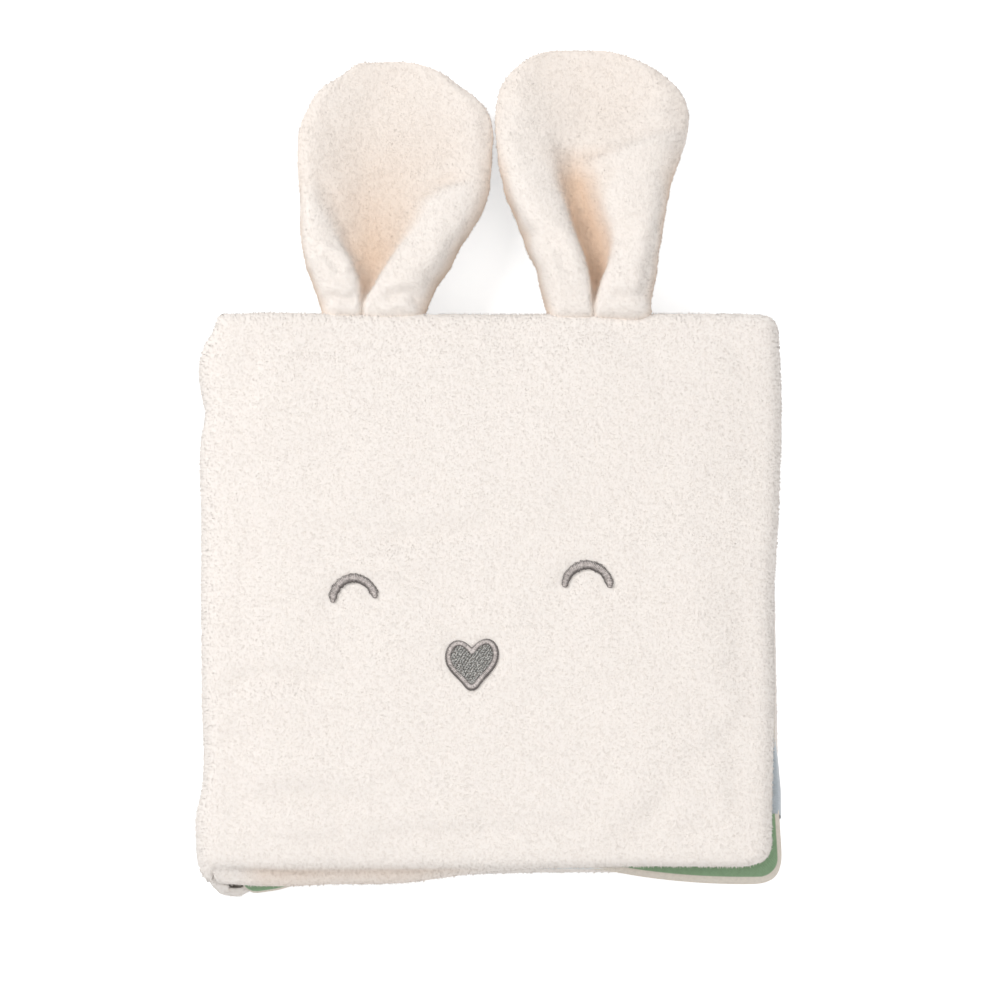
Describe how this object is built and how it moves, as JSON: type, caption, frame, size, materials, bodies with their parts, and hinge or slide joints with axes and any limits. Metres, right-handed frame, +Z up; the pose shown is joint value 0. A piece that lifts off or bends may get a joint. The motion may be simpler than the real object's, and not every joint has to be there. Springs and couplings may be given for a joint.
{
  "type": "crinkle cloth book",
  "caption": "Square crinkle cloth book for a baby: cream plush covers with rolled ears and an embroidered sleeping face, a padded printed leaf with crinkle film and a satin ribbon tag.",
  "frame": {"origin": "middle of the flat underside of the back cover, which the closed book lies on", "axes": "+Z up out of the embroidered front cover; +Y from the foot of the book to the ears; +X from the spine to the fore-edge"},
  "size_m": [0.156, 0.2329, 0.0241],
  "materials": {
    "cream_plush": "short-pile cream plush with a soft nap",
    "ear_inner_plush": "short-pile cream plush with a soft nap",
    "lining_print": null,
    "wadding": "white polyester wadding",
    "crinkle_film": "thin milky crinkle film",
    "leaf_front_print": "plain-weave cotton printed green with a cream border",
    "leaf_back_print": "plain-weave cotton printed grey-blue with a cream border",
    "binding_tape": "cream cotton tape",
    "satin_ribbon": "grey-blue satin ribbon",
    "grey_thread": "grey embroidery thread in satin stitch",
    "dark_grey_thread": "dark grey embroidery thread in fill stitch",
    "seam_thread": "cream sewing thread"
  },
  "bodies": {
    "back_cover": {"back_cover_plush": "cream_plush", "back_cover_wadding": "wadding", "back_cover_crinkle_film": "crinkle_film", "back_cover_lining": "lining_print", "spine_back_half": "cream_plush"},
    "leaf": {"leaf_front_print": "leaf_front_print", "leaf_wadding": "wadding", "leaf_crinkle_film": "crinkle_film", "leaf_back_print": "leaf_back_print", "leaf_binding_tape": "binding_tape", "binding_stitching": "seam_thread", "ribbon_tag": "satin_ribbon", "spine_front_half": "cream_plush"},
    "front_cover": {"front_cover_plush": "cream_plush", "front_cover_wadding": "wadding", "front_cover_crinkle_film": "crinkle_film", "front_cover_lining": "lining_print", "left_eye_stitching": "grey_thread", "right_eye_stitching": "grey_thread", "nose_border_stitching": "grey_thread", "nose_fill_stitching": "dark_grey_thread", "left_ear_seam_tab": "cream_plush", "right_ear_seam_tab": "cream_plush"},
    "left_ear": {"left_ear_back_plush": "cream_plush", "left_ear_front_plush": "ear_inner_plush"},
    "right_ear": {"right_ear_back_plush": "cream_plush", "right_ear_front_plush": "ear_inner_plush"}
  },
  "joints": [
    {"name": "leaf_turn", "type": "hinge", "parent": "back_cover", "child": "leaf", "pos_m": [-0.0765, 0, 0.012], "axis": [0, -1, 0], "range_deg": [0, 174], "deforming": ["spine_back_half"]},
    {"name": "cover_turn", "type": "hinge", "parent": "leaf", "child": "front_cover", "pos_m": [-0.0765, 0, 0.024], "axis": [0, -1, 0], "range_deg": [0, 180], "deforming": ["spine_front_half"]},
    {"name": "left_ear_flip", "type": "hinge", "parent": "front_cover", "child": "left_ear", "pos_m": [-0.03351, 0.0792, 0.01968], "axis": [1, 0, 0], "range_deg": [-25, 90]},
    {"name": "right_ear_flip", "type": "hinge", "parent": "front_cover", "child": "right_ear", "pos_m": [0.02686, 0.0792, 0.01785], "axis": [1, 0, 0], "range_deg": [-25, 90]}
  ]
}
